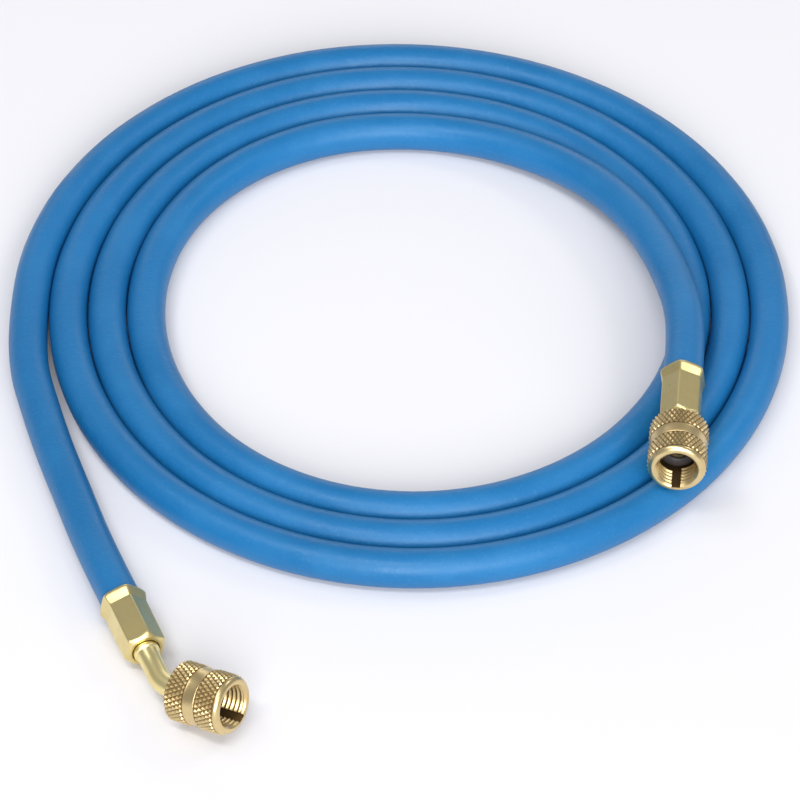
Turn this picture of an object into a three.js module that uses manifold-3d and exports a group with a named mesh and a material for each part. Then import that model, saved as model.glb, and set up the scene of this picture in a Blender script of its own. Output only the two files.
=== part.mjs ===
// Refrigerant charging hose lying in a flat open coil of about three and a half turns.
// Both hose ends are crimped in a hexagonal ferrule that holds a brass stem with a swivel flare nut.
// One stem is straight and its fitting lies on top of the coil, the other stem is bent.
// Millimetres, +Z up, the coil lies on z = 0 and the middle of the whole outline is at x = y = 0.

import * as THREE from "three";
import { mergeVertices } from "three/addons/utils/BufferGeometryUtils.js";
import Module from "manifold-3d";

const wasm = await Module();
wasm.setup();

// Gap kept between two pieces that touch on the real hose.
const contact_gap = 0.3;

// Hose
const hose_outer_diameter = 10.0;
const hose_bore_diameter = 5.0;
const hose_radius = hose_outer_diameter / 2;
const hose_section_sides = 12;
const hose_bore_sides = 8;

// Coil: radius of the hose centre line as it goes round, with the lean of the hand-laid oval.
const coil_radius = 88.96;
const turn_pitch = 10.4;
const oval_right = -1.14;
const oval_back = 4.86;
const oval_depth = -3.41;
const oval_slant = -0.6;
const oval_third = 0.37;
const coil_first_angle = 90;
const coil_last_angle = 1260;
const coil_angle_step = 15;
const coil_middle_angle = 720;
const coil_center_x = 3.374;
const coil_center_y = 19.875;
// The hose section is turned a little where it lies, so its lowest edge needs this drop to the floor.
const coil_settle = -0.0386;

// Ferrule: hexagon with a flared collar at the hose end and a chamfered front.
const ferrule_length = 18.45;
const ferrule_across_flats = 9.85;
const ferrule_corner_radius = ferrule_across_flats / Math.sqrt(3);
const collar_corner_radius = 6.4;
const collar_end_radius = 6.0;
const collar_rim_length = 0.7;
const collar_flare_length = 3.4;
const collar_bore_depth = 0.8;
const collar_bore_radius = hose_radius + contact_gap;
const ferrule_bore_radius = 4.2;
const ferrule_front_wall = 2.2;
const ferrule_front_radius = 4.35;
const ferrule_chamfer_length = 1.1;

// Hose end squeezed by the crimp
const hose_end_inset = collar_bore_depth - contact_gap;
const crimped_radius = ferrule_bore_radius - contact_gap;
const crimped_length = ferrule_length - ferrule_front_wall - contact_gap;
const crimp_overlap = 1.2;

// Stem: barbed tail inside the hose, shoulder in the front hole of the ferrule, neck, flange and nose.
const stem_bore_radius = 1.5;
const tail_radius = hose_bore_diameter / 2 - contact_gap;
const tail_start = 2.0;
const shoulder_radius = 3.3;
const shoulder_back = ferrule_length - 1.2;
const shoulder_front = ferrule_length + 1.1;
const ferrule_hole_radius = shoulder_radius + contact_gap;
const neck_radius = 2.7;
const flange_radius = 4.7;
const flange_thickness = 2.3;
const nose_radius = 2.3;
const nose_length = 1.7;
const stem_bend_radius = 9.0;

// Flare nut: two knurled bands, a plain waist between them and a plain rounded lip.
const nut_length = 16.0;
const nut_radius = 7.65;
const nut_rear_chamfer = 0.5;
const nut_band_length = 5.8;
const nut_waist_radius = 7.3;
const nut_waist_length = 3.2;
const nut_waist_slope = 0.35;
const nut_lip_radius = 7.3;
const nut_lip_bevel = 0.8;
const nut_lip_flat_radius = 6.35;
const nut_mouth_radius = 5.4;
const nut_mouth_chamfer = 0.4;
const nut_rear_wall = 4.0;
const nut_segments = 40;

// Flare thread of the nut, 7/16 inch with 20 turns to the inch, kept as a plain bore of its pitch size.
const thread_major_diameter = 11.11;
const thread_minor_diameter = 9.93;
const thread_bore_radius = (thread_major_diameter + thread_minor_diameter) / 4;
const nut_rear_hole_radius = neck_radius + contact_gap;

// Slot cut along the bottom of the thread
const slot_width = 2.2;
const slot_depth_radius = 5.75;
const slot_length = 9.0;

// Gasket in front of the flange
const flange_back = nut_rear_wall + contact_gap;
const flange_front = flange_back + flange_thickness;
const gasket_back = flange_front + contact_gap;
const gasket_thickness = 2.0;
const gasket_clearance = 0.4;
const gasket_outer_radius = thread_bore_radius - gasket_clearance;
const gasket_inner_radius = nose_radius + contact_gap;

// Place off the coil's centre: across as shares of the coil's radius, up in millimetres.
function fromCoil(right, back, height) {
  return new THREE.Vector3(right * coil_radius, back * coil_radius, height);
}

// Straight fitting: collar end on the coil, direction towards the mouth, distance to the nut.
const straight_collar_height = 17.1;
const straight_collar = fromCoil(0.7869, -0.4154, straight_collar_height);
const straight_direction = new THREE.Vector3(-0.088, -0.995, 0.042).normalize();
const straight_ferrule_roll = 8;
const straight_nut_start = 21.05;

// Bent fitting: collar end, direction of the ferrule and of the nut, lengths to and after the corner.
const bent_collar_height = 6.6;
const bent_collar = fromCoil(-0.8138, -1.2245, bent_collar_height);
const bent_direction = new THREE.Vector3(0.362, -0.932, 0.0).normalize();
const bent_nut_direction = new THREE.Vector3(0.825, -0.533, 0.189).normalize();
const bent_ferrule_roll = -12;
const bent_neck_length = 12.3;
const bent_corner_distance = ferrule_length + bent_neck_length;
const bent_nut_start = 5.6;
const bent_nut_roll = 18;

// Hose centre line where it isn't coiled, from the straight fitting down into the coil.
// Positions are from the coil's centre, across as shares of coil_radius and up in millimetres.
const rising_end = [
  [0.7908, -0.3706, 16.93],
  [0.8004, -0.2585, 16.4],
  [0.8037, -0.1237, 15.6],
  [0.7902, 0.0056, 14.45],
  [0.7475, 0.2001, 12.6],
  [0.6790, 0.3923, 10.8],
  [0.5710, 0.5710, 8.9],
  [0.4182, 0.7239, 7.1],
  [0.2248, 0.8375, 5.6]
];

// Hose centre line from the coil out to the bent fitting.
const leaving_end = [
  [-1.1308, -0.2248, hose_radius],
  [-1.0881, -0.4047, hose_radius],
  [-1.0364, -0.5845, hose_radius],
  [-0.9757, -0.7689, hose_radius],
  [-0.9150, -0.9510, 5.3],
  [-0.8639, -1.0949, 6.15]
];

const materials = {
  hose: () => new THREE.MeshStandardMaterial({ color: 0x2f7ec4, roughness: 0.5, metalness: 0.0 }),
  brass: () => new THREE.MeshStandardMaterial({ color: 0xb9a467, roughness: 0.38, metalness: 1.0 }),
  gasket: () => new THREE.MeshStandardMaterial({ color: 0x35302f, roughness: 0.7, metalness: 0.0 })
};

// A closed three.js shape as a solid.
function solidOf(geometry) {
  const plain = geometry.index ? geometry.toNonIndexed() : geometry.clone();
  plain.deleteAttribute("normal");
  plain.deleteAttribute("uv");
  const merged = mergeVertices(plain, 1e-4);
  const vertProperties = new Float32Array(merged.attributes.position.array);
  const corners = merged.index.array;
  const kept = [];
  for (let i = 0; i < corners.length; i += 3) {
    const a = corners[i];
    const b = corners[i + 1];
    const c = corners[i + 2];
    if (a !== b && b !== c && c !== a) kept.push(a, b, c);
  }
  const triVerts = new Uint32Array(kept);
  return new wasm.Manifold(new wasm.Mesh({ numProp: 3, vertProperties, triVerts }));
}

// The solid back as a three.js geometry.
function geometryOf(solid) {
  const mesh = solid.getMesh();
  const geometry = new THREE.BufferGeometry();
  geometry.setAttribute("position", new THREE.BufferAttribute(new Float32Array(mesh.vertProperties), 3));
  geometry.setIndex(new THREE.BufferAttribute(new Uint32Array(mesh.triVerts), 1));
  geometry.computeVertexNormals();
  return geometry;
}

// A turned piece about the Z axis, from a closed profile of [radius, height] corners.
function turned(profile, segments) {
  const points = profile.map(([radius, height]) => new THREE.Vector2(radius, height));
  points.push(points[0].clone());
  const geometry = new THREE.LatheGeometry(points, segments);
  geometry.rotateX(Math.PI / 2);
  return geometry;
}

// A prism or frustum with flat sides about the Z axis, between two heights.
function prism(radiusLow, radiusHigh, low, high, sides) {
  const geometry = new THREE.CylinderGeometry(radiusHigh, radiusLow, high - low, sides);
  geometry.rotateX(Math.PI / 2);
  geometry.translate(0, 0, (low + high) / 2);
  return geometry;
}

// The placement whose Z axis is the fitting's axis and whose Y axis points as far up as it can.
function placement(origin, direction, roll) {
  const axis = direction.clone().normalize();
  const side = new THREE.Vector3(0, 0, 1).cross(axis).normalize();
  const up = axis.clone().cross(side);
  const matrix = new THREE.Matrix4().makeBasis(side, up, axis);
  matrix.multiply(new THREE.Matrix4().makeRotationZ(THREE.MathUtils.degToRad(roll)));
  matrix.setPosition(origin);
  return matrix;
}

function meshOf(name, geometry, material, matrix) {
  const mesh = new THREE.Mesh(geometry, material);
  mesh.name = name;
  if (matrix) {
    mesh.applyMatrix4(matrix);
  }
  return mesh;
}

// A curve that meets each of its points at an even parameter, so a swept ring stands on each point.
class PointCurve extends THREE.CatmullRomCurve3 {
  getPointAt(u, target) {
    return this.getPoint(u, target);
  }
  getTangentAt(u, target) {
    return this.getTangent(u, target);
  }
}

// Radius of the hose centre line in the coil at a running angle.
function coilRadiusAt(degrees) {
  const turn = THREE.MathUtils.degToRad(degrees);
  const spread = (turn_pitch * (degrees - coil_middle_angle)) / 360;
  const oval = oval_right * Math.cos(turn) + oval_back * Math.sin(turn);
  const squash = oval_depth * Math.cos(2 * turn) + oval_slant * Math.sin(2 * turn);
  return coil_radius + spread + oval + squash + oval_third * Math.cos(3 * turn);
}

function along(origin, direction, distance) {
  return origin.clone().addScaledVector(direction, distance);
}

function hoseRoute() {
  const points = [along(straight_collar, straight_direction, hose_end_inset)];
  for (const [right, back, height] of rising_end) {
    points.push(fromCoil(right, back, height));
  }
  for (let angle = coil_first_angle; angle <= coil_last_angle; angle += coil_angle_step) {
    const radius = coilRadiusAt(angle);
    const turn = THREE.MathUtils.degToRad(angle);
    points.push(new THREE.Vector3(radius * Math.cos(turn), radius * Math.sin(turn), hose_radius));
  }
  for (const [right, back, height] of leaving_end) {
    points.push(fromCoil(right, back, height));
  }
  points.push(along(bent_collar, bent_direction, hose_end_inset));
  return points;
}

function ringShape(outerRadius, outerSides, innerRadius, innerSides) {
  const shape = new THREE.Shape();
  for (let i = 0; i < outerSides; i += 1) {
    const angle = (2 * Math.PI * i) / outerSides;
    const x = outerRadius * Math.cos(angle);
    const y = outerRadius * Math.sin(angle);
    if (i === 0) shape.moveTo(x, y);
    else shape.lineTo(x, y);
  }
  shape.closePath();
  const hole = new THREE.Path();
  for (let i = 0; i < innerSides; i += 1) {
    const angle = (-2 * Math.PI * i) / innerSides;
    const x = innerRadius * Math.cos(angle);
    const y = innerRadius * Math.sin(angle);
    if (i === 0) hole.moveTo(x, y);
    else hole.lineTo(x, y);
  }
  hole.closePath();
  shape.holes.push(hole);
  return shape;
}

// Hose end inside the ferrule, squeezed thinner by the crimp.
function crimpedEnd(origin, direction) {
  const low = hose_end_inset - crimp_overlap;
  const inner = hose_bore_diameter / 2 + 0.02;
  const profile = [
    [inner, low],
    [crimped_radius, low],
    [crimped_radius, crimped_length],
    [inner, crimped_length]
  ];
  const geometry = turned(profile, 16);
  geometry.applyMatrix4(placement(origin, direction, 0));
  return solidOf(geometry);
}

function makeHose() {
  const points = hoseRoute();
  const curve = new PointCurve(points, false, "centripetal");
  const section = ringShape(hose_radius, hose_section_sides, hose_bore_diameter / 2, hose_bore_sides);
  const settings = { steps: points.length - 1, extrudePath: curve, bevelEnabled: false, curveSegments: 1 };
  const tube = solidOf(new THREE.ExtrudeGeometry(section, settings));
  const straightEnd = crimpedEnd(straight_collar, straight_direction);
  const bentEnd = crimpedEnd(bent_collar, bent_direction);
  return geometryOf(tube.add(straightEnd).add(bentEnd));
}

// Hexagonal ferrule with its collar at height zero and its front hole at the far end.
function makeFerrule() {
  const flare = prism(collar_corner_radius, ferrule_corner_radius, collar_rim_length, collar_flare_length, 6);
  const rim = prism(collar_corner_radius, collar_corner_radius, 0, collar_rim_length + 0.001, 6);
  const body = prism(ferrule_corner_radius, ferrule_corner_radius, collar_flare_length - 0.001, ferrule_length, 6);
  const roundingProfile = [
    [0, 0],
    [collar_end_radius, 0],
    [collar_corner_radius + 0.05, collar_rim_length],
    [collar_corner_radius + 0.05, collar_flare_length],
    [ferrule_corner_radius + 0.05, ferrule_length - ferrule_chamfer_length],
    [ferrule_front_radius, ferrule_length],
    [0, ferrule_length]
  ];
  const rounding = solidOf(turned(roundingProfile, 36));
  const cavityProfile = [
    [0, -1],
    [collar_bore_radius, -1],
    [collar_bore_radius, collar_bore_depth],
    [ferrule_bore_radius, collar_bore_depth + 0.4],
    [ferrule_bore_radius, ferrule_length - ferrule_front_wall],
    [ferrule_hole_radius, ferrule_length - ferrule_front_wall],
    [ferrule_hole_radius, ferrule_length + 1],
    [0, ferrule_length + 1]
  ];
  const cavity = solidOf(turned(cavityProfile, 24));
  const outside = solidOf(flare).add(solidOf(rim)).add(solidOf(body)).intersect(rounding);
  return geometryOf(outside.subtract(cavity));
}

// Straight stem, from its tail in the hose to its nose in the nut.
function makeStraightStem() {
  const flangeBack = straight_nut_start + flange_back;
  const flangeFront = straight_nut_start + flange_front;
  const noseEnd = flangeFront + nose_length;
  const profile = [
    [stem_bore_radius, tail_start],
    [tail_radius, tail_start],
    [tail_radius, shoulder_back],
    [shoulder_radius, shoulder_back],
    [shoulder_radius, shoulder_front],
    [neck_radius, shoulder_front],
    [neck_radius, flangeBack],
    [flange_radius, flangeBack],
    [flange_radius, flangeFront],
    [nose_radius, flangeFront],
    [nose_radius, noseEnd],
    [stem_bore_radius, noseEnd]
  ];
  return turned(profile, 24);
}

// Bent stem: tail and shoulder, a bent neck, then flange and nose along the nut's axis.
function makeBentStem() {
  const corner = along(bent_collar, bent_direction, bent_corner_distance);
  const nutOrigin = along(corner, bent_nut_direction, bent_nut_start);
  const bend = bent_direction.angleTo(bent_nut_direction);
  const tangent = stem_bend_radius * Math.tan(bend / 2);
  const tailProfile = [
    [0, tail_start],
    [tail_radius, tail_start],
    [tail_radius, shoulder_back],
    [shoulder_radius, shoulder_back],
    [shoulder_radius, shoulder_front],
    [0, shoulder_front]
  ];
  const tail = turned(tailProfile, 24);
  tail.applyMatrix4(placement(bent_collar, bent_direction, 0));
  const flangeProfile = [
    [0, flange_back],
    [flange_radius, flange_back],
    [flange_radius, flange_front],
    [nose_radius, flange_front],
    [nose_radius, flange_front + nose_length],
    [0, flange_front + nose_length]
  ];
  const flange = turned(flangeProfile, 24);
  flange.applyMatrix4(placement(nutOrigin, bent_nut_direction, 0));
  const neckFrom = along(bent_collar, bent_direction, shoulder_front - 0.6);
  const neckTo = along(nutOrigin, bent_nut_direction, flange_back + 0.6);
  const boreFrom = along(bent_collar, bent_direction, tail_start - 2);
  const boreTo = along(nutOrigin, bent_nut_direction, flange_front + nose_length + 2);
  const neck = bentRod(neckFrom, neckTo, corner, tangent, neck_radius, 20);
  const bore = bentRod(boreFrom, boreTo, corner, tangent, stem_bore_radius, 10);
  return geometryOf(solidOf(tail).add(neck).add(solidOf(flange)).subtract(bore));
}

// A round rod along two straight legs joined by an arc about the corner.
function bentRod(from, to, corner, tangent, radius, sides) {
  const arcStart = along(corner, bent_direction, -tangent);
  const arcEnd = along(corner, bent_nut_direction, tangent);
  const arc = new THREE.QuadraticBezierCurve3(arcStart, corner, arcEnd);
  const points = [from];
  for (let i = 0; i <= 8; i += 1) {
    points.push(arc.getPoint(i / 8));
  }
  points.push(to);
  const section = new THREE.Shape();
  for (let i = 0; i < sides; i += 1) {
    const angle = (2 * Math.PI * i) / sides;
    const x = radius * Math.cos(angle);
    const y = radius * Math.sin(angle);
    if (i === 0) section.moveTo(x, y);
    else section.lineTo(x, y);
  }
  section.closePath();
  const curve = new PointCurve(points, false, "centripetal");
  const settings = { steps: points.length - 1, extrudePath: curve, bevelEnabled: false, curveSegments: 1 };
  return solidOf(new THREE.ExtrudeGeometry(section, settings));
}

// Flare nut with its rear wall at height zero and its mouth at the far end.
function makeNut() {
  const firstBandEnd = nut_band_length;
  const waistEnd = firstBandEnd + nut_waist_length;
  const secondBandEnd = waistEnd + nut_band_length;
  const profile = [
    [nut_rear_hole_radius, 0],
    [nut_radius - nut_rear_chamfer, 0],
    [nut_radius, nut_rear_chamfer],
    [nut_radius, firstBandEnd],
    [nut_waist_radius, firstBandEnd + nut_waist_slope],
    [nut_waist_radius, waistEnd - nut_waist_slope],
    [nut_radius, waistEnd],
    [nut_radius, secondBandEnd],
    [nut_lip_radius, secondBandEnd + nut_waist_slope],
    [nut_lip_radius, nut_length - nut_lip_bevel],
    [nut_lip_flat_radius, nut_length],
    [nut_mouth_radius, nut_length],
    [thread_bore_radius, nut_length - nut_mouth_chamfer],
    [thread_bore_radius, nut_rear_wall],
    [nut_rear_hole_radius, nut_rear_wall]
  ];
  const cutter = new THREE.BoxGeometry(slot_width, slot_depth_radius, slot_length + 1);
  cutter.translate(0, -slot_depth_radius / 2, nut_length + 1 - (slot_length + 1) / 2);
  return geometryOf(solidOf(turned(profile, nut_segments)).subtract(solidOf(cutter)));
}

function makeGasket() {
  const profile = [
    [gasket_inner_radius, gasket_back],
    [gasket_outer_radius, gasket_back],
    [gasket_outer_radius, gasket_back + gasket_thickness],
    [gasket_inner_radius, gasket_back + gasket_thickness]
  ];
  return turned(profile, 24);
}

const straightPlace = placement(straight_collar, straight_direction, 0);
const straightRolled = placement(straight_collar, straight_direction, straight_ferrule_roll);
const straightNutOrigin = along(straight_collar, straight_direction, straight_nut_start);
const straightNutPlace = placement(straightNutOrigin, straight_direction, 0);
const bentCorner = along(bent_collar, bent_direction, bent_corner_distance);
const bentNutOrigin = along(bentCorner, bent_nut_direction, bent_nut_start);
const bentRolled = placement(bent_collar, bent_direction, bent_ferrule_roll);
const bentNutPlace = placement(bentNutOrigin, bent_nut_direction, bent_nut_roll);

const coil = new THREE.Group();
coil.position.set(coil_center_x, coil_center_y, coil_settle);
coil.add(meshOf("hose", makeHose(), materials.hose(), null));
coil.add(meshOf("ferrule_straight", makeFerrule(), materials.brass(), straightRolled));
coil.add(meshOf("stem_straight", makeStraightStem(), materials.brass(), straightPlace));
coil.add(meshOf("nut_straight", makeNut(), materials.brass(), straightNutPlace));
coil.add(meshOf("gasket_straight", makeGasket(), materials.gasket(), straightNutPlace));
coil.add(meshOf("ferrule_bent", makeFerrule(), materials.brass(), bentRolled));
coil.add(meshOf("stem_bent", makeBentStem(), materials.brass(), null));
coil.add(meshOf("nut_bent", makeNut(), materials.brass(), bentNutPlace));
coil.add(meshOf("gasket_bent", makeGasket(), materials.gasket(), bentNutPlace));

const chargingHose = new THREE.Group();
chargingHose.add(coil);

export default chargingHose;
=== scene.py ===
"""A refrigerant charging hose in an open coil, dressed over its solids.

Metres, +Z up, the same frame as the solids.
"""

import math

import bmesh
import bpy
from mathutils import Matrix, Vector


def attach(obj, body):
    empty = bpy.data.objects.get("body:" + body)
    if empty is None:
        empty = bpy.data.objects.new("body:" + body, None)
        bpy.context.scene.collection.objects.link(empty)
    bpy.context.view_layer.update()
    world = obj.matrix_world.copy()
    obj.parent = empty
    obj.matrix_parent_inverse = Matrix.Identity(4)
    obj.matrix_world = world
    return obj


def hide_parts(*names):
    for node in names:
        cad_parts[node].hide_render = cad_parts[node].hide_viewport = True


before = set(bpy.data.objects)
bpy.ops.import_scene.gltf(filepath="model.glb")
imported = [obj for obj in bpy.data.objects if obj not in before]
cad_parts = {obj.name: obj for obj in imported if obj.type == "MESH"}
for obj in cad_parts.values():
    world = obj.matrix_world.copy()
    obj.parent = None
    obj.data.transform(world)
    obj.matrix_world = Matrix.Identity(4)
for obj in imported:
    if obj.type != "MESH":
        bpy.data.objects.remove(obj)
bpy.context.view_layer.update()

MM = 0.001

# Camera: the photo is taken with a long lens from the front, about 42 degrees above the floor.
picture_width_px = 800
focal_length_px = 4741
camera_elevation = math.radians(42.2)
camera_from_coil = Vector((-3.19, -949.51, 836.64))

# The hose and its route, repeated from the solids.
rubber_radius = 5.1 * MM
coil_radius = 88.96
turn_pitch = 10.4
oval_right = -1.14
oval_back = 4.86
oval_depth = -3.41
oval_slant = -0.6
oval_third = 0.37
coil_first_angle = 90
coil_last_angle = 1260
coil_middle_angle = 720
coil_center = Vector((3.374, 19.875, -0.0386))
hose_end_inset = 0.5
coil_angle_step = 15
lying_height = 5.0
curve_steps_per_gap = 6
hose_sides = 32


def from_coil(right, back, height):
    """A place off the coil's centre: across as shares of the coil's radius, up in millimetres."""
    return Vector((right * coil_radius, back * coil_radius, height))


straight_collar_height = 17.1
straight_collar = from_coil(0.7869, -0.4154, straight_collar_height)
straight_direction = Vector((-0.088, -0.995, 0.042)).normalized()
straight_ferrule_roll = 8
straight_nut_start = 21.05
bent_collar_height = 6.6
bent_collar = from_coil(-0.8138, -1.2245, bent_collar_height)
bent_direction = Vector((0.362, -0.932, 0.0)).normalized()
bent_nut_direction = Vector((0.825, -0.533, 0.189)).normalized()
bent_ferrule_roll = -12
ferrule_length = 18.45
bent_neck_length = 12.3
bent_corner_distance = ferrule_length + bent_neck_length
bent_nut_start = 5.6
bent_nut_roll = 18
bent_corner = bent_collar + bent_direction * bent_corner_distance

# Where the hose isn't coiled: from the straight fitting down into the coil, and out to the bent one.
rising_end = [
    from_coil(0.7908, -0.3706, 16.93),
    from_coil(0.8004, -0.2585, 16.4),
    from_coil(0.8037, -0.1237, 15.6),
    from_coil(0.7902, 0.0056, 14.45),
    from_coil(0.7475, 0.2001, 12.6),
    from_coil(0.6790, 0.3923, 10.8),
    from_coil(0.5710, 0.5710, 8.9),
    from_coil(0.4182, 0.7239, 7.1),
    from_coil(0.2248, 0.8375, 5.6),
]
leaving_end = [
    from_coil(-1.1308, -0.2248, lying_height),
    from_coil(-1.0881, -0.4047, lying_height),
    from_coil(-1.0364, -0.5845, lying_height),
    from_coil(-0.9757, -0.7689, lying_height),
    from_coil(-0.9150, -0.9510, 5.3),
    from_coil(-0.8639, -1.0949, 6.15),
]

# Ferrule, in millimetres as all sizes below.
ferrule_flat_distance = 9.85 / 2
collar_corner_radius = 6.4
collar_rim_length = 0.7
collar_flare_length = 3.4
ferrule_bore_radius = 5.22
ferrule_hole_clearance = 0.22
ferrule_steps = 180
uncut_radius = 7.20
hexagon_edge_softness = 60.0
turned_edge_softness = 40.0
shoulder_back = ferrule_length - 1.2
shoulder_front = ferrule_length + 1.1

# Nut
nut_length = 16.0
nut_radius = 7.65
nut_band_length = 5.8
nut_waist_length = 3.2
nut_waist_radius = 7.3
nut_lip_radius = 7.3
nut_lip_flat_radius = 6.35
nut_mouth_radius = 5.4
nut_steps = 120
knurl_depth = 0.39
diamonds_around = 37
diamond_rows = 5
diamond_top = 0.18
diamond_fill = 0.98
diamond_root = 0.04
band_edge = 0.12
thread_major_radius = 11.11 / 2
thread_minor_radius = 9.93 / 2
thread_pitch = 25.4 / 20
thread_turns = 5
ridge_steps = 72
ridge_half_base = 0.60
ridge_end_gap = 0.02
slot_width = 2.2
slot_depth_radius = 5.75
slot_length = 9.0
nut_rear_wall = 4.0

# Stem; its flange and nose are set from the nut's back face.
neck_radius = 2.7
shoulder_radius = 3.3
tail_radius = 2.2
tail_start = 12.0
stem_bore_radius = 1.5
flange_radius = 4.7
flange_back = 4.3
flange_front = 6.6
nose_radius = 2.3
nose_length = 1.7
nose_shade_reach = 3.2
edge_break = 0.1
bend_radius = 9.0
bend_steps = 14
bend_clearance = 1.5
straight_stem_steps = 64
bent_stem_steps = 48

# Gasket
gasket_back = 6.9
gasket_front = 8.9
gasket_outer_radius = 4.86
gasket_inner_radius = 2.55
gasket_steps = 64

# ---------------------------------------------------------------- materials


class Value:
    """A number that varies over a surface, written as plain arithmetic."""

    def __init__(self, finish, socket):
        self.finish = finish
        self.socket = socket

    def _math(self, operation, first, second):
        node = self.finish.node("ShaderNodeMath", {"operation": operation}, {0: first, 1: second})
        return Value(self.finish, node.outputs[0])

    def __add__(self, other):
        return self._math("ADD", self, other)

    def __radd__(self, other):
        return self._math("ADD", other, self)

    def __mul__(self, other):
        return self._math("MULTIPLY", self, other)


class Finish:
    """A material and the few ways in which this script adds to it."""

    def __init__(self, name):
        self.material = bpy.data.materials.new(name)
        self.material.use_nodes = True
        self.tree = self.material.node_tree
        self.tree.nodes.clear()
        self.shader = self.tree.nodes.new("ShaderNodeBsdfPrincipled")
        output = self.tree.nodes.new("ShaderNodeOutputMaterial")
        self.tree.links.new(self.shader.outputs[0], output.inputs[0])

    def node(self, kind, settings=None, values=None):
        made = self.tree.nodes.new(kind)
        for name, setting in (settings or {}).items():
            setattr(made, name, setting)
        for name, value in (values or {}).items():
            self.plug(made.inputs[name], value)
        return made

    def plug(self, socket, value):
        if isinstance(value, Value):
            self.tree.links.new(value.socket, socket)
        elif isinstance(value, bpy.types.NodeSocket):
            self.tree.links.new(value, socket)
        else:
            socket.default_value = value

    def noise(self, place, scale, detail):
        values = {"Vector": place, "Scale": scale, "Detail": detail}
        return Value(self, self.node("ShaderNodeTexNoise", {}, values).outputs["Fac"])

    def blend(self, amount, first, second):
        mix = self.node("ShaderNodeMix", {"data_type": "RGBA"}, {0: amount, 6: first, 7: second})
        return mix.outputs[2]

    def spread(self, value, low, high):
        """The value stretched so that low is 0 and high is 1, kept between them."""
        values = {"Value": value, "From Min": low, "From Max": high}
        return Value(self, self.node("ShaderNodeMapRange", {"clamp": True}, values).outputs[0])

    def bump(self, height, strength, distance):
        values = {"Height": height, "Strength": strength, "Distance": distance}
        return self.node("ShaderNodeBump", {}, values).outputs[0]

    def place(self):
        return self.node("ShaderNodeTexCoord").outputs["Object"]


def rubber_finish():
    """Matt blue rubber with faint patches, streaks and a fine grain."""
    f = Finish("blue_rubber")
    at = f.place()
    patches = f.noise(at, 16.0, 2.0)
    streaks = f.noise(at, 70.0, 3.0)
    grain = f.noise(at, 1300.0, 2.0)
    pimples = f.noise(at, 420.0, 2.0)
    waves = f.noise(at, 120.0, 1.0)
    deep_blue = (0.006, 0.128, 0.330, 1)
    mid_blue = (0.009, 0.152, 0.385, 1)
    streak_blue = (0.020, 0.185, 0.420, 1)
    grain_blue = (0.05, 0.27, 0.53, 1)
    sheen_blue = (0.72, 0.90, 1.0, 1)
    colour = f.blend(f.spread(patches, 0.35, 0.65), deep_blue, mid_blue)
    colour = f.blend(f.spread(streaks, 0.45, 0.75) * 0.35, colour, streak_blue)
    colour = f.blend(f.spread(grain, 0.55, 0.75) * 0.16, colour, grain_blue)
    f.plug(f.shader.inputs["Base Color"], colour)
    f.plug(f.shader.inputs["Roughness"], 0.37 + f.spread(streaks, 0.3, 0.7) * 0.14)
    f.shader.inputs["Specular Tint"].default_value = sheen_blue
    height = grain * 0.3 + pimples * 0.7 + waves * 1.2
    f.plug(f.shader.inputs["Normal"], f.bump(height, 0.5, 0.0003))
    return f.material


def brass_finish(name, light, dark, roughness, painted_shade=None):
    """Brass with cloudy patches; given a colour for painted shade, it is darkened as painted shade
    where the mesh is marked as recess.
    """
    f = Finish(name)
    at = f.place()
    cloud = f.noise(at, 160.0, 3.0)
    rub = f.noise(at, 1500.0, 2.0)
    colour = f.blend(f.spread(cloud, 0.35, 0.7), light, dark)
    rough = roughness + f.spread(cloud, 0.3, 0.7) * 0.10 + rub * 0.06
    # Painted shade: the recess mark blends the colour towards the shade colour in the knurl's grooves,
    # the slot, the thread and the nose deep in the nut.
    if painted_shade:
        recess = Value(f, f.node("ShaderNodeAttribute", {"attribute_name": "recess"}).outputs["Fac"])
        deep = f.spread(recess, 0.42, 1.0)
        colour = f.blend(deep * 0.85, colour, painted_shade)
        rough = rough + deep * 0.2
    f.plug(f.shader.inputs["Base Color"], colour)
    f.shader.inputs["Metallic"].default_value = 1.0
    f.plug(f.shader.inputs["Roughness"], rough)
    f.plug(f.shader.inputs["Normal"], f.bump(rub * 0.6 + cloud, 0.10, 0.0002))
    return f.material


def gasket_finish():
    f = Finish("black_rubber")
    grain = f.noise(f.place(), 1400.0, 2.0)
    colour = f.blend(grain, (0.018, 0.014, 0.015, 1), (0.040, 0.034, 0.036, 1))
    f.plug(f.shader.inputs["Base Color"], colour)
    f.shader.inputs["Roughness"].default_value = 0.5
    f.plug(f.shader.inputs["Normal"], f.bump(grain, 0.2, 0.0001))
    return f.material


def floor_finish():
    f = Finish("pale_floor")
    f.shader.inputs["Base Color"].default_value = (0.765, 0.76, 0.785, 1)
    f.shader.inputs["Roughness"].default_value = 0.9
    return f.material


rubber = rubber_finish()
ferrule_brass = brass_finish(
    "satin_brass",
    light=(0.830, 0.695, 0.330, 1),
    dark=(0.730, 0.595, 0.260, 1),
    roughness=0.25,
)
stem_brass = brass_finish(
    "turned_brass",
    light=(0.930, 0.800, 0.390, 1),
    dark=(0.850, 0.700, 0.320, 1),
    roughness=0.30,
    # Near-black painted shade on the nose deep inside the nut.
    painted_shade=(0.03, 0.02, 0.012, 1),
)
nut_brass = brass_finish(
    "knurled_brass",
    light=(0.760, 0.600, 0.310, 1),
    dark=(0.640, 0.485, 0.230, 1),
    roughness=0.25,
    # Dark brown painted shade in the knurl's grooves, the thread and the slot.
    painted_shade=(0.17, 0.10, 0.038, 1),
)
gasket_rubber = gasket_finish()

# ---------------------------------------------------------------- shapes


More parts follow.
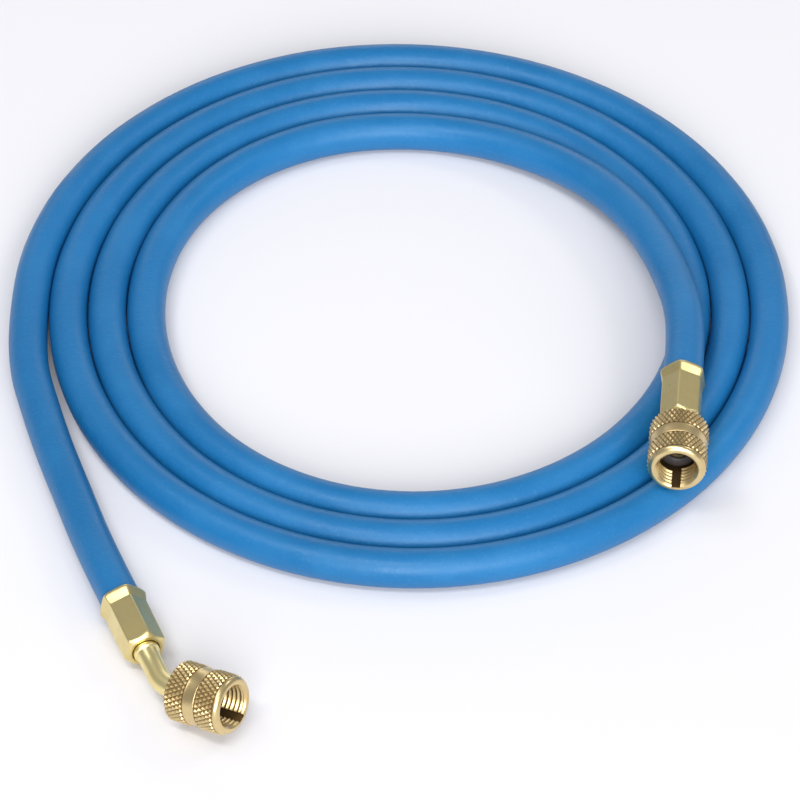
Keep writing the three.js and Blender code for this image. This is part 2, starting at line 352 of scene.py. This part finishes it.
def placement(origin, direction, roll=0.0):
    """Z along the direction, Y as far up as it can, in metres, from millimetres about the coil."""
    axis = direction.normalized()
    side = Vector((0, 0, 1)).cross(axis).normalized()
    up = axis.cross(side)
    turn = Matrix((side, up, axis)).transposed().to_4x4()
    shift = Matrix.Translation((origin + coil_center) * MM)
    return shift @ turn @ Matrix.Rotation(math.radians(roll), 4, "Z") @ Matrix.Scale(MM, 4)


def mesh_from(name, corners, faces, placed=None):
    """A mesh with its double corners welded; in metres once it is placed, else in millimetres."""
    weld = 1e-4 if placed is None else 1e-7
    mesh = bpy.data.meshes.new(name)
    mesh.from_pydata([tuple(c) for c in corners], [], faces)
    if placed is not None:
        mesh.transform(placed)
    work = bmesh.new()
    work.from_mesh(mesh)
    bmesh.ops.remove_doubles(work, verts=work.verts, dist=weld)
    bmesh.ops.recalc_face_normals(work, faces=work.faces)
    work.to_mesh(mesh)
    work.free()
    mesh.update()
    return mesh


def thing_from(name, mesh, material=None):
    thing = bpy.data.objects.new(name, mesh)
    bpy.context.scene.collection.objects.link(thing)
    if material is not None:
        mesh.materials.clear()
        mesh.materials.append(material)
    return thing


def smooth(mesh, sharp_degrees):
    """Smooth shading that breaks at edges sharper than the angle."""
    for face in mesh.polygons:
        face.use_smooth = True
    work = bmesh.new()
    work.from_mesh(mesh)
    limit = math.radians(sharp_degrees)
    for edge in work.edges:
        edge.smooth = len(edge.link_faces) == 2 and edge.calc_face_angle(0) < limit
    work.to_mesh(mesh)
    work.free()


def ring_faces(ring_count, steps):
    """Faces between rings of corners, the last ring joined to the first."""
    faces = []
    for k in range(ring_count):
        after = (k + 1) % ring_count
        for i in range(steps):
            j = (i + 1) % steps
            faces.append((k * steps + i, k * steps + j, after * steps + j, after * steps + i))
    return faces


def turned_mesh(name, rings, steps, placed, shape=None):
    """A closed skin through rings of (radius, height).

    Where shape is given, it works out the radius from the ring's radius, its height and the angle.
    """
    corners = []
    for radius, height in rings:
        for i in range(steps):
            angle = 2 * math.pi * i / steps
            r = shape(radius, height, angle) if shape else radius
            corners.append((r * math.cos(angle), r * math.sin(angle), height))
    return mesh_from(name, corners, ring_faces(len(rings), steps), placed)


def finished(thing):
    """The thing with its modifiers worked into its mesh."""
    graph = bpy.context.evaluated_depsgraph_get()
    mesh = bpy.data.meshes.new_from_object(thing.evaluated_get(graph))
    thing.modifiers.clear()
    thing.data = mesh
    return thing


def joined(name, things):
    """Several things as one, their meshes kept where they are and their materials kept apart."""
    work = bmesh.new()
    materials = []
    for thing in things:
        mesh = thing.data.copy()
        mesh.transform(thing.matrix_world)
        for material in mesh.materials:
            if material not in materials:
                materials.append(material)
        index = {i: materials.index(m) for i, m in enumerate(mesh.materials)}
        before = len(work.faces)
        work.from_mesh(mesh)
        work.faces.ensure_lookup_table()
        for face in work.faces[before:]:
            face.material_index = index.get(face.material_index, 0)
        bpy.data.meshes.remove(mesh)
    merged = bpy.data.meshes.new(name)
    work.to_mesh(merged)
    work.free()
    for material in materials:
        merged.materials.append(material)
    for thing in things:
        bpy.data.objects.remove(thing)
    return thing_from(name, merged)


class Arrangement:
    """A geometry node tree with named inputs."""

    def __init__(self, name, inputs):
        self.tree = bpy.data.node_groups.new(name, "GeometryNodeTree")
        sockets = self.tree.interface
        sockets.new_socket("Geometry", in_out="INPUT", socket_type="NodeSocketGeometry")
        self.named = {}
        for label, kind in inputs:
            self.named[label] = sockets.new_socket(label, in_out="INPUT", socket_type=kind).identifier
        sockets.new_socket("Geometry", in_out="OUTPUT", socket_type="NodeSocketGeometry")
        self.start = self.tree.nodes.new("NodeGroupInput")
        self.end = self.tree.nodes.new("NodeGroupOutput")

    def node(self, kind, settings=None, values=None):
        made = self.tree.nodes.new(kind)
        for name, setting in (settings or {}).items():
            setattr(made, name, setting)
        for name, value in (values or {}).items():
            if isinstance(value, bpy.types.NodeSocket):
                self.tree.links.new(value, made.inputs[name])
            else:
                made.inputs[name].default_value = value
        return made

    def math(self, operation, first, second):
        return self.node("ShaderNodeMath", {"operation": operation}, {0: first, 1: second}).outputs[0]

    def close(self, geometry, material):
        realized = self.node("GeometryNodeRealizeInstances", {}, {"Geometry": geometry})
        painted = self.node("GeometryNodeSetMaterial", {}, {"Geometry": realized.outputs[0]})
        painted.inputs["Material"].default_value = material
        self.tree.links.new(painted.outputs[0], self.end.inputs[0])

    def apply(self, thing, values):
        modifier = thing.modifiers.new(self.tree.name, "NODES")
        modifier.node_group = self.tree
        for label, value in values.items():
            modifier[self.named[label]] = value
        return finished(thing)


# ---------------------------------------------------------------- hose


def coil_radius_at(degrees):
    """Distance of the hose's centre line from the coil's centre: a spiral, pressed slightly oval."""
    turn = math.radians(degrees)
    spread = turn_pitch * (degrees - coil_middle_angle) / 360
    oval = oval_right * math.cos(turn) + oval_back * math.sin(turn)
    squash = oval_depth * math.cos(2 * turn) + oval_slant * math.sin(2 * turn)
    return coil_radius + spread + oval + squash + oval_third * math.cos(3 * turn)


def curve_through(points, per_gap):
    """A centripetal curve through the points, with per_gap steps in each gap."""
    first = points[0] * 2 - points[1]
    last = points[-1] * 2 - points[-2]
    row = [first, *points, last]
    made = []
    for i in range(1, len(row) - 2):
        p0, p1, p2, p3 = row[i - 1 : i + 3]
        t1 = (p1 - p0).length ** 0.5
        t2 = t1 + (p2 - p1).length ** 0.5
        t3 = t2 + (p3 - p2).length ** 0.5
        for step in range(per_gap):
            t = t1 + (t2 - t1) * step / per_gap
            a1 = p0 * ((t1 - t) / t1) + p1 * (t / t1)
            a2 = p1 * ((t2 - t) / (t2 - t1)) + p2 * ((t - t1) / (t2 - t1))
            a3 = p2 * ((t3 - t) / (t3 - t2)) + p3 * ((t - t2) / (t3 - t2))
            b1 = a1 * ((t2 - t) / t2) + a2 * (t / t2)
            b2 = a2 * ((t3 - t) / (t3 - t1)) + a3 * ((t - t1) / (t3 - t1))
            made.append(b1 * ((t2 - t) / (t2 - t1)) + b2 * ((t - t1) / (t2 - t1)))
    made.append(points[-1].copy())
    return made


def hose_route():
    """The hose's centre line in metres, from the straight fitting through the coil to the bent one."""
    points = [straight_collar + straight_direction * hose_end_inset]
    points += rising_end
    for angle in range(coil_first_angle, coil_last_angle + 1, coil_angle_step):
        radius = coil_radius_at(angle)
        turn = math.radians(angle)
        points.append(Vector((radius * math.cos(turn), radius * math.sin(turn), lying_height)))
    points += leaving_end
    points.append(bent_collar + bent_direction * hose_end_inset)
    return [(p + coil_center) * MM for p in curve_through(points, curve_steps_per_gap)]


def make_hose():
    """The hose as one skin along its route, and the route itself."""
    route = hose_route()
    line = bpy.data.meshes.new("hose_line")
    line.from_pydata([tuple(p) for p in route], [(i, i + 1) for i in range(len(route) - 1)], [])
    hose = thing_from("rubber_hose", line)
    labels = [("Hose Radius", "NodeSocketFloat"), ("Sides", "NodeSocketInt")]
    plan = Arrangement("hose_along_route", labels)
    given = plan.start.outputs
    path = plan.node("GeometryNodeMeshToCurve", {}, {"Mesh": given["Geometry"]})
    ring_values = {"Resolution": given["Sides"], "Radius": given["Hose Radius"]}
    ring = plan.node("GeometryNodeCurvePrimitiveCircle", {}, ring_values)
    swept_values = {"Curve": path.outputs[0], "Profile Curve": ring.outputs[0], "Fill Caps": True}
    swept = plan.node("GeometryNodeCurveToMesh", {}, swept_values)
    plan.close(swept.outputs[0], rubber)
    plan.apply(hose, {"Hose Radius": rubber_radius, "Sides": hose_sides})
    work = bmesh.new()
    work.from_mesh(hose.data)
    bmesh.ops.remove_doubles(work, verts=work.verts, dist=1e-6)
    bmesh.ops.recalc_face_normals(work, faces=work.faces)
    work.to_mesh(hose.data)
    work.free()
    smooth(hose.data, sharp_degrees=50)
    return hose, route


# ---------------------------------------------------------------- fittings


def hexagon(distance, angle):
    """Radius of a hexagon with softened edges, with a corner straight up."""
    total = 0.0
    for k in range(6):
        reach = math.cos(angle - math.radians(60 * k))
        if reach > 0:
            total += reach**hexagon_edge_softness
    return distance / total ** (1 / hexagon_edge_softness)


def ferrule_reach(limit, height, angle):
    """Outside of the ferrule: hexagon of the flared collar and the body, cut round by the limit."""
    wide = collar_corner_radius * math.cos(math.pi / 6)
    part = (height - collar_rim_length) / (collar_flare_length - collar_rim_length)
    part = min(1, max(0, part))
    reach = hexagon(wide + (ferrule_flat_distance - wide) * part, angle)
    softness = turned_edge_softness
    return (reach**-softness + limit**-softness) ** (-1 / softness)


def make_ferrule(name, placed):
    """A turned skin whose outside is cut to a hexagon; the short steps round its edges."""
    bore = ferrule_bore_radius
    hole = shoulder_radius + ferrule_hole_clearance
    front = ferrule_length
    inside = [(4.2, 1.2), (bore, 0.8)]
    outside = [
        (bore, 0.16),
        (bore + 0.05, 0.05),
        (bore + 0.16, 0.0),
        (5.72, 0.0),
        (5.90, 0.04),
        (6.06, 0.14),
        (6.20, 0.30),
        (6.36, 0.52),
        (6.80, 0.76),
        (uncut_radius, 1.2),
        (uncut_radius, 2.2),
        (uncut_radius, collar_flare_length - 0.12),
        (uncut_radius, collar_flare_length),
        (uncut_radius, collar_flare_length + 0.12),
        (uncut_radius, 5.0),
        (uncut_radius, 9.0),
        (uncut_radius, 13.0),
        (uncut_radius, front - 1.7),
        (6.30, front - 1.3),
        (5.74, front - 1.0),
        (5.42, front - 0.80),
        (5.12, front - 0.60),
        (4.84, front - 0.42),
        (4.62, front - 0.27),
        (4.46, front - 0.14),
        (4.33, front - 0.05),
        (4.20, front),
        (hole + 0.22, front),
        (hole + 0.08, front - 0.04),
        (hole, front - 0.16),
    ]
    rings = inside + outside + [(hole, front - 2.0), (4.2, front - 2.2)]
    first, last = len(inside) + 3, len(inside) + len(outside) - 4
    skin = {rings[k] for k in range(first, last)}

    def shape(limit, height, angle):
        return ferrule_reach(limit, height, angle) if (limit, height) in skin else limit

    mesh = turned_mesh(name, rings, ferrule_steps, placed, shape)
    smooth(mesh, sharp_degrees=24)
    return thing_from(name, mesh, ferrule_brass)


def stem_rings(nut_back):
    """Rings of (radius, distance) from the neck's front end to the nose and back into the bore."""
    back = nut_back + flange_back
    front = nut_back + flange_front
    return [
        (neck_radius, back - edge_break),
        (neck_radius + edge_break, back),
        (flange_radius - edge_break, back),
        (flange_radius, back + edge_break),
        (flange_radius, front - edge_break),
        (flange_radius - edge_break, front),
        (nose_radius + edge_break, front),
        (nose_radius, front + edge_break),
        (nose_radius, front + nose_length - edge_break),
        (nose_radius - edge_break, front + nose_length),
        (stem_bore_radius + edge_break, front + nose_length),
        (stem_bore_radius, front + nose_length - edge_break),
    ]


tail_and_shoulder = [
    (stem_bore_radius, tail_start),
    (tail_radius, tail_start),
    (tail_radius, shoulder_back),
    (shoulder_radius - 0.1, shoulder_back + 0.05),
    (shoulder_radius, shoulder_back + 0.2),
    (shoulder_radius, shoulder_front - 0.42),
    (shoulder_radius - 0.04, shoulder_front - 0.24),
    (shoulder_radius - 0.14, shoulder_front - 0.10),
    (shoulder_radius - 0.32, shoulder_front),
    (neck_radius + 0.10, shoulder_front + 0.08),
    (neck_radius, shoulder_front + 0.28),
]


def mark_shade(mesh, nose_place):
    """Marks the nose, deep in the nut, for painted shade as dark as a recess."""
    reach = nose_shade_reach * MM
    mark = mesh.attributes.new("recess", "FLOAT", "POINT")
    middle = (nose_place + coil_center) * MM
    for corner in mesh.vertices:
        mark.data[corner.index].value = 1.0 if (corner.co - middle).length < reach else 0.0


def make_straight_stem(placed):
    """Tail, shoulder, neck, flange and nose, turned as one skin with its bore."""
    name = "stem_straight_brass"
    rings = tail_and_shoulder + stem_rings(straight_nut_start)
    mesh = turned_mesh(name, rings, straight_stem_steps, placed)
    smooth(mesh, sharp_degrees=35)
    mark_shade(mesh, straight_collar + straight_direction * (straight_nut_start + flange_front))
    return thing_from(name, mesh, stem_brass)


def make_bent_stem():
    """One skin swept along the bent axis, with the shoulder and flange as changes of its radius."""
    name = "stem_bent_brass"
    bend = bent_direction.angle(bent_nut_direction)
    arc_length = bend_radius * bend
    tangent = bend_radius * math.tan(bend / 2)
    straight = bent_corner_distance - tangent
    end = straight + arc_length + bent_nut_start - tangent
    turn_axis = bent_direction.cross(bent_nut_direction).normalized()

    def centre(s):
        if s <= straight:
            return bent_collar + bent_direction * s, bent_direction
        if s <= straight + arc_length:
            turned = Matrix.Rotation((s - straight) / bend_radius, 3, turn_axis)
            start = bent_collar + bent_direction * straight
            hub = start + turn_axis.cross(bent_direction).normalized() * bend_radius
            return hub + turned @ (start - hub), turned @ bent_direction
        rest = s - straight - arc_length
        return bent_corner + bent_nut_direction * (tangent + rest), bent_nut_direction

    along = [straight + arc_length * i / bend_steps for i in range(bend_steps + 1)]
    rings = tail_and_shoulder + [(neck_radius, straight - bend_clearance)]
    rings += [(neck_radius, s) for s in along]
    rings += stem_rings(end)
    rings += [(stem_bore_radius, s) for s in reversed(along[::2])]
    side = Vector((0, 0, 1)).cross(bent_direction).normalized()
    steps = bent_stem_steps
    corners = []
    for radius, s in rings:
        spot, heading = centre(s)
        across = (side - heading * side.dot(heading)).normalized()
        up = heading.cross(across)
        for i in range(steps):
            angle = 2 * math.pi * i / steps
            around = across * (radius * math.cos(angle)) + up * (radius * math.sin(angle))
            corners.append((spot + around + coil_center) * MM)
    mesh = mesh_from(name, corners, ring_faces(len(rings), steps), Matrix.Identity(4))
    smooth(mesh, sharp_degrees=40)
    mark_shade(mesh, bent_corner + bent_nut_direction * (bent_nut_start + flange_front))
    return thing_from(name, mesh, stem_brass)


def seed_thing(name):
    """A thing of one point, for a geometry tree that makes all the rest."""
    seed = bpy.data.meshes.new("seed")
    seed.from_pydata([(0, 0, 0)], [], [])
    return thing_from(name, seed)


def make_diamond():
    """One bump of the knurl: a pyramid with a small flat top."""
    half_wide = math.pi * nut_radius / diamonds_around * diamond_fill
    half_long = nut_band_length / diamond_rows * diamond_fill
    low = nut_radius - knurl_depth - diamond_root
    base = [(low, -half_wide, 0), (low, 0, -half_long), (low, half_wide, 0), (low, 0, half_long)]
    cap = [(nut_radius, y * diamond_top, z * diamond_top) for _, y, z in base]
    faces = [(3, 2, 1, 0), (4, 5, 6, 7)]
    for i in range(4):
        j = (i + 1) % 4
        faces.append((i, j, 4 + j, 4 + i))
    return thing_from("diamond", mesh_from("diamond", base + cap, faces))


def make_knurl(name):
    """Both knurled bands: the diamonds in staggered rows round the nut, cut off at the bands' ends."""
    diamond = make_diamond()
    knurl = seed_thing(name)
    labels = [
        ("Around", "NodeSocketInt"),
        ("Rows", "NodeSocketInt"),
        ("Row Step", "NodeSocketFloat"),
        ("First Band", "NodeSocketFloat"),
        ("Second Band", "NodeSocketFloat"),
        ("Band Length", "NodeSocketFloat"),
        ("Diamond", "NodeSocketObject"),
    ]
    plan = Arrangement("knurled_bands", labels)
    given = plan.start.outputs
    both = plan.math("MULTIPLY", plan.math("MULTIPLY", given["Around"], given["Rows"]), 2.0)
    points = plan.node("GeometryNodePoints", {}, {"Count": both})
    index = plan.node("GeometryNodeInputIndex").outputs[0]
    around = plan.math("MODULO", index, given["Around"])
    row_all = plan.math("FLOOR", plan.math("DIVIDE", index, given["Around"]), 0.0)
    row = plan.math("MODULO", row_all, given["Rows"])
    band = plan.math("FLOOR", plan.math("DIVIDE", row_all, given["Rows"]), 0.0)
    stagger = plan.math("MULTIPLY", plan.math("MODULO", row, 2.0), 0.5)
    step = plan.math("DIVIDE", 2 * math.pi, given["Around"])
    angle = plan.math("MULTIPLY", plan.math("ADD", around, stagger), step)
    band_gap = plan.math("SUBTRACT", given["Second Band"], given["First Band"])
    band_start = plan.math("ADD", given["First Band"], plan.math("MULTIPLY", band, band_gap))
    row_middle = plan.math("ADD", row, 0.5)
    height = plan.math("ADD", band_start, plan.math("MULTIPLY", row_middle, given["Row Step"]))
    spot = plan.node("ShaderNodeCombineXYZ", {}, {"X": 0.0, "Y": 0.0, "Z": height})
    turn = plan.node("ShaderNodeCombineXYZ", {}, {"X": 0.0, "Y": 0.0, "Z": angle})
    moved_values = {"Geometry": points.outputs[0], "Position": spot.outputs[0]}
    moved = plan.node("GeometryNodeSetPosition", {}, moved_values)
    shape = plan.node("GeometryNodeObjectInfo", {}, {"Object": given["Diamond"]})
    set_values = {
        "Points": moved.outputs[0],
        "Instance": shape.outputs["Geometry"],
        "Rotation": turn.outputs[0],
    }
    studs = plan.node("GeometryNodeInstanceOnPoints", {}, set_values)
    real = plan.node("GeometryNodeRealizeInstances", {}, {"Geometry": studs.outputs[0]})
    corner = plan.node("GeometryNodeInputPosition").outputs[0]
    parts = plan.node("ShaderNodeSeparateXYZ", {}, {0: corner}).outputs
    between = plan.math("SUBTRACT", given["Second Band"], nut_waist_length / 2)
    second = plan.math("MULTIPLY", plan.math("GREATER_THAN", parts["Z"], between), band_gap)
    low = plan.math("ADD", given["First Band"], second)
    high = plan.math("ADD", low, given["Band Length"])
    kept = plan.math("MINIMUM", plan.math("MAXIMUM", parts["Z"], low), high)
    held = plan.node("ShaderNodeCombineXYZ", {}, {"X": parts["X"], "Y": parts["Y"], "Z": kept})
    cut_values = {"Geometry": real.outputs[0], "Position": held.outputs[0]}
    trimmed = plan.node("GeometryNodeSetPosition", {}, cut_values)
    plan.close(trimmed.outputs[0], nut_brass)
    cut_length = nut_band_length - 2 * band_edge
    values = {
        "Around": diamonds_around,
        "Rows": diamond_rows,
        "Row Step": cut_length / diamond_rows,
        "First Band": band_edge,
        "Second Band": nut_band_length + nut_waist_length + band_edge,
        "Band Length": cut_length,
        "Diamond": diamond,
    }
    plan.apply(knurl, values)
    bpy.data.objects.remove(diamond)
    return knurl


def make_ridge():
    """One turn of thread ridge, rising by a pitch, with its ends at the slot."""
    steps = ridge_steps
    gap = math.asin(slot_width / 2 / thread_major_radius) + ridge_end_gap
    start = -math.pi / 2 + gap
    sweep = 2 * math.pi - 2 * gap
    section = [
        (thread_major_radius + 0.06, -ridge_half_base),
        (thread_minor_radius + 0.05, -0.14),
        (thread_minor_radius, -0.06),
        (thread_minor_radius, 0.06),
        (thread_minor_radius + 0.05, 0.14),
        (thread_major_radius + 0.06, ridge_half_base),
    ]
    corners, faces = [], []
    count = len(section)
    for i in range(steps + 1):
        angle = start + sweep * i / steps
        rise = thread_pitch * i / steps * sweep / (2 * math.pi)
        for radius, height in section:
            corners.append((radius * math.cos(angle), radius * math.sin(angle), height + rise))
    for i in range(steps):
        for k in range(count):
            j = (k + 1) % count
            faces.append((i * count + k, i * count + j, (i + 1) * count + j, (i + 1) * count + k))
    faces.append(tuple(range(count)))
    faces.append(tuple(steps * count + k for k in reversed(range(count))))
    return thing_from("ridge", mesh_from("ridge", corners, faces))


def make_thread(name):
    """The flare thread: the ridge set along the bore by its pitch."""
    ridge = make_ridge()
    thread = seed_thing(name)
    labels = [
        ("Turns", "NodeSocketInt"),
        ("Pitch", "NodeSocketFloat"),
        ("Start", "NodeSocketFloat"),
        ("Ridge", "NodeSocketObject"),
    ]
    plan = Arrangement("thread_turns", labels)
    given = plan.start.outputs
    points = plan.node("GeometryNodePoints", {}, {"Count": given["Turns"]})
    index = plan.node("GeometryNodeInputIndex").outputs[0]
    height = plan.math("ADD", given["Start"], plan.math("MULTIPLY", index, given["Pitch"]))
    spot = plan.node("ShaderNodeCombineXYZ", {}, {"X": 0.0, "Y": 0.0, "Z": height})
    moved_values = {"Geometry": points.outputs[0], "Position": spot.outputs[0]}
    moved = plan.node("GeometryNodeSetPosition", {}, moved_values)
    shape = plan.node("GeometryNodeObjectInfo", {}, {"Object": given["Ridge"]})
    turns_values = {"Points": moved.outputs[0], "Instance": shape.outputs["Geometry"]}
    turns = plan.node("GeometryNodeInstanceOnPoints", {}, turns_values)
    plan.close(turns.outputs[0], nut_brass)
    first_turn = gasket_front + 0.55
    values = {"Turns": thread_turns, "Pitch": thread_pitch, "Start": first_turn, "Ridge": ridge}
    plan.apply(thread, values)
    bpy.data.objects.remove(ridge)
    smooth(thread.data, sharp_degrees=30)
    return thread


def mark_recess(mesh):
    """How deep each point lies in the knurl, the thread or the slot, from 0 to 1; the finish paints
    shade by it.
    """
    mark = mesh.attributes.new("recess", "FLOAT", "POINT")
    second = nut_band_length + nut_waist_length
    knurl_root = 6.9
    slot_side = slot_width / 2 + 0.02
    slot_reach = slot_depth_radius + 0.14
    thread_reach = thread_major_radius + 0.4
    thread_front = nut_length - 0.62
    thread_height = thread_major_radius - thread_minor_radius
    thread_darkness = 2.2
    for corner in mesh.vertices:
        x, y, z = corner.co
        radius = math.hypot(x, y)
        in_band = -0.01 < z < nut_band_length or second < z < second + nut_band_length
        depth = 0.0
        if radius > knurl_root and in_band:
            depth = (nut_radius - radius) / knurl_depth
        elif abs(x) < slot_side and y < -2 and radius < slot_reach:
            depth = 1.0
        elif radius < thread_reach and nut_rear_wall < z < thread_front:
            depth = thread_darkness * (radius - thread_minor_radius) / thread_height
        mark.data[corner.index].value = min(1, max(0, depth))


def make_nut(name, placed):
    """The turned shell, cut by its slot, with the knurl and the thread as one piece."""
    waist_start = nut_band_length
    waist_end = waist_start + nut_waist_length
    band_end = waist_end + nut_band_length
    floor = nut_radius - knurl_depth
    rings = [
        (3.0, 0.1),
        (3.1, 0.0),
        (6.55, 0.0),
        (6.80, 0.05),
        (7.0, 0.16),
        (floor, 0.36),
        (floor, waist_start - 0.08),
        (nut_waist_radius + 0.04, waist_start + 0.04),
        (nut_waist_radius, waist_start + 0.2),
        (nut_waist_radius - 0.02, waist_start + 0.6),
        (nut_waist_radius - 0.02, waist_end - 0.6),
        (nut_waist_radius, waist_end - 0.2),
        (nut_waist_radius + 0.04, waist_end - 0.04),
        (floor, waist_end + 0.08),
        (floor, band_end - 0.08),
        (nut_lip_radius + 0.04, band_end + 0.02),
        (nut_lip_radius + 0.02, band_end + 0.16),
        (nut_lip_radius - 0.02, band_end + 0.32),
        (nut_lip_radius - 0.12, band_end + 0.52),
        (nut_lip_radius - 0.28, band_end + 0.72),
        (nut_lip_radius - 0.50, band_end + 0.92),
        (nut_lip_radius - 0.74, band_end + 1.07),
        (nut_lip_flat_radius, band_end + 1.16),
        (nut_lip_flat_radius - 0.26, nut_length),
        (nut_mouth_radius + 0.36, nut_length),
        (nut_mouth_radius + 0.18, nut_length - 0.06),
        (nut_mouth_radius, nut_length - 0.20),
        (nut_mouth_radius - 0.16, nut_length - 0.40),
        (thread_minor_radius + 0.10, nut_length - 0.60),
        (thread_major_radius, nut_length - 0.85),
        (thread_major_radius, nut_rear_wall + 0.1),
        (thread_major_radius - 0.1, nut_rear_wall),
        (3.1, nut_rear_wall),
        (3.0, nut_rear_wall - 0.1),
    ]
    shell = thing_from("nut_shell", turned_mesh("nut_shell", rings, nut_steps, None), nut_brass)
    cutter_corners = [
        (x, y, z)
        for x in (-slot_width / 2, slot_width / 2)
        for y in (-slot_depth_radius, 0)
        for z in (nut_length - slot_length, nut_length + 1)
    ]
    cutter_faces = [(0, 1, 3, 2), (4, 6, 7, 5), (0, 4, 5, 1), (2, 3, 7, 6), (0, 2, 6, 4), (1, 5, 7, 3)]
    cutter = thing_from("slot_cutter", mesh_from("slot_cutter", cutter_corners, cutter_faces))
    cut = shell.modifiers.new("slot", "BOOLEAN")
    cut.operation = "DIFFERENCE"
    cut.solver = "EXACT"
    cut.object = cutter
    bpy.context.view_layer.update()
    finished(shell)
    bpy.data.objects.remove(cutter)
    smooth(shell.data, sharp_degrees=30)
    shell.data.materials.clear()
    shell.data.materials.append(nut_brass)
    nut = joined(name, [shell, make_knurl("knurl"), make_thread("thread")])
    mark_recess(nut.data)
    nut.data.transform(placed)
    return nut


def make_gasket(name, placed):
    """The rubber seat, with a rounded front edge."""
    outer, inner = gasket_outer_radius, gasket_inner_radius
    rings = [
        (inner + 0.15, gasket_back),
        (outer - 0.15, gasket_back),
        (outer, gasket_back + 0.15),
        (outer, gasket_front - 0.3),
        (outer - 0.1, gasket_front - 0.08),
        (outer - 0.35, gasket_front),
        (4.0, gasket_front - 0.02),
        (3.3, gasket_front - 0.16),
        (inner + 0.2, gasket_front - 0.32),
        (inner, gasket_front - 0.5),
        (inner, gasket_back + 0.15),
    ]
    mesh = turned_mesh(name, rings, gasket_steps, placed)
    smooth(mesh, sharp_degrees=50)
    return thing_from(name, mesh, gasket_rubber)


# ---------------------------------------------------------------- camera and hose first

eye = bpy.data.cameras.new("photo_camera")
eye.sensor_width = 36
eye.lens = eye.sensor_width * focal_length_px / picture_width_px
eye.clip_start = 0.05
eye.clip_end = 20
camera = bpy.data.objects.new("photo_camera", eye)
bpy.context.scene.collection.objects.link(camera)
camera.location = (coil_center + camera_from_coil) * MM
camera.rotation_euler = (math.pi / 2 - camera_elevation, 0, 0)
bpy.context.scene.camera = camera

hose, route = make_hose()
hose_length = sum((b - a).length for a, b in zip(route, route[1:]))

straight_place = placement(straight_collar, straight_direction)
straight_rolled = placement(straight_collar, straight_direction, straight_ferrule_roll)
straight_nut_back = straight_collar + straight_direction * straight_nut_start
straight_nut_place = placement(straight_nut_back, straight_direction)
bent_rolled = placement(bent_collar, bent_direction, bent_ferrule_roll)
bent_nut_back = bent_corner + bent_nut_direction * bent_nut_start
bent_nut_place = placement(bent_nut_back, bent_nut_direction, bent_nut_roll)

straight_pieces = {
    "ferrule_straight": make_ferrule("ferrule_straight_brass", straight_rolled),
    "stem_straight": make_straight_stem(straight_place),
    "nut_straight": make_nut("nut_straight_brass", straight_nut_place),
    "gasket_straight": make_gasket("gasket_straight_rubber", straight_nut_place),
}
bent_pieces = {
    "ferrule_bent": make_ferrule("ferrule_bent_brass", bent_rolled),
    "stem_bent": make_bent_stem(),
    "nut_bent": make_nut("nut_bent_brass", bent_nut_place),
    "gasket_bent": make_gasket("gasket_bent_rubber", bent_nut_place),
}

body_for = {"nut_straight": "straight_nut", "nut_bent": "bent_nut"}
for node, piece in {**straight_pieces, **bent_pieces}.items():
    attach(piece, body_for.get(node, "hose_and_stems"))
    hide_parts(node)

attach(hose, "hose_and_stems")
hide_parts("hose")

# ---------------------------------------------------------------- floor and light

floor_side, floor_front, floor_back = 3, -3, 4
floor_corners = [
    (-floor_side, floor_front, 0),
    (floor_side, floor_front, 0),
    (floor_side, floor_back, 0),
    (-floor_side, floor_back, 0),
]
floor_mesh = bpy.data.meshes.new("floor")
floor_mesh.from_pydata(floor_corners, [], [(0, 1, 2, 3)])
ground = thing_from("floor", floor_mesh, floor_finish())
ground.location.z = -0.2 * MM

world = bpy.data.worlds.new("studio")
bpy.context.scene.world = world
world.use_nodes = True
sky = world.node_tree.nodes["Background"]
sky.inputs["Color"].default_value = (0.93, 0.94, 1.0, 1)
sky.inputs["Strength"].default_value = 0.37
bpy.context.scene.view_settings.view_transform = "Standard"


def softbox(name, place, aim, width, depth, power):
    """A white rectangle of light at a place, turned to what it aims at."""
    lamp = bpy.data.lights.new(name, "AREA")
    lamp.shape = "RECTANGLE"
    lamp.size = width
    lamp.size_y = depth
    lamp.energy = power
    thing = bpy.data.objects.new(name, lamp)
    bpy.context.scene.collection.objects.link(thing)
    thing.location = place
    thing.rotation_mode = "QUATERNION"
    thing.rotation_quaternion = (Vector(aim) - Vector(place)).to_track_quat("-Z", "Y")


# Two broad lights in front, two small high ones that the brass flats mirror, and a card behind.
softbox("front_key", (0.4, -2.9, 1.6), (0, 0.05, 0), width=2.6, depth=1.7, power=110)
softbox("front_high", (-0.3, -0.75, 1.65), (0, 0.05, 0), width=1.3, depth=0.30, power=13)
softbox("high_left", (-0.55, 0.04, 1.1), (-0.07, -0.1, 0), width=0.40, depth=0.30, power=1.5)
softbox("high_right", (0.80, 0.38, 0.90), (0.07, -0.02, 0), width=0.40, depth=0.30, power=1.4)
softbox("back_card", (0, 1.9, 0.5), (0, 0, 0), width=1.8, depth=0.6, power=5)
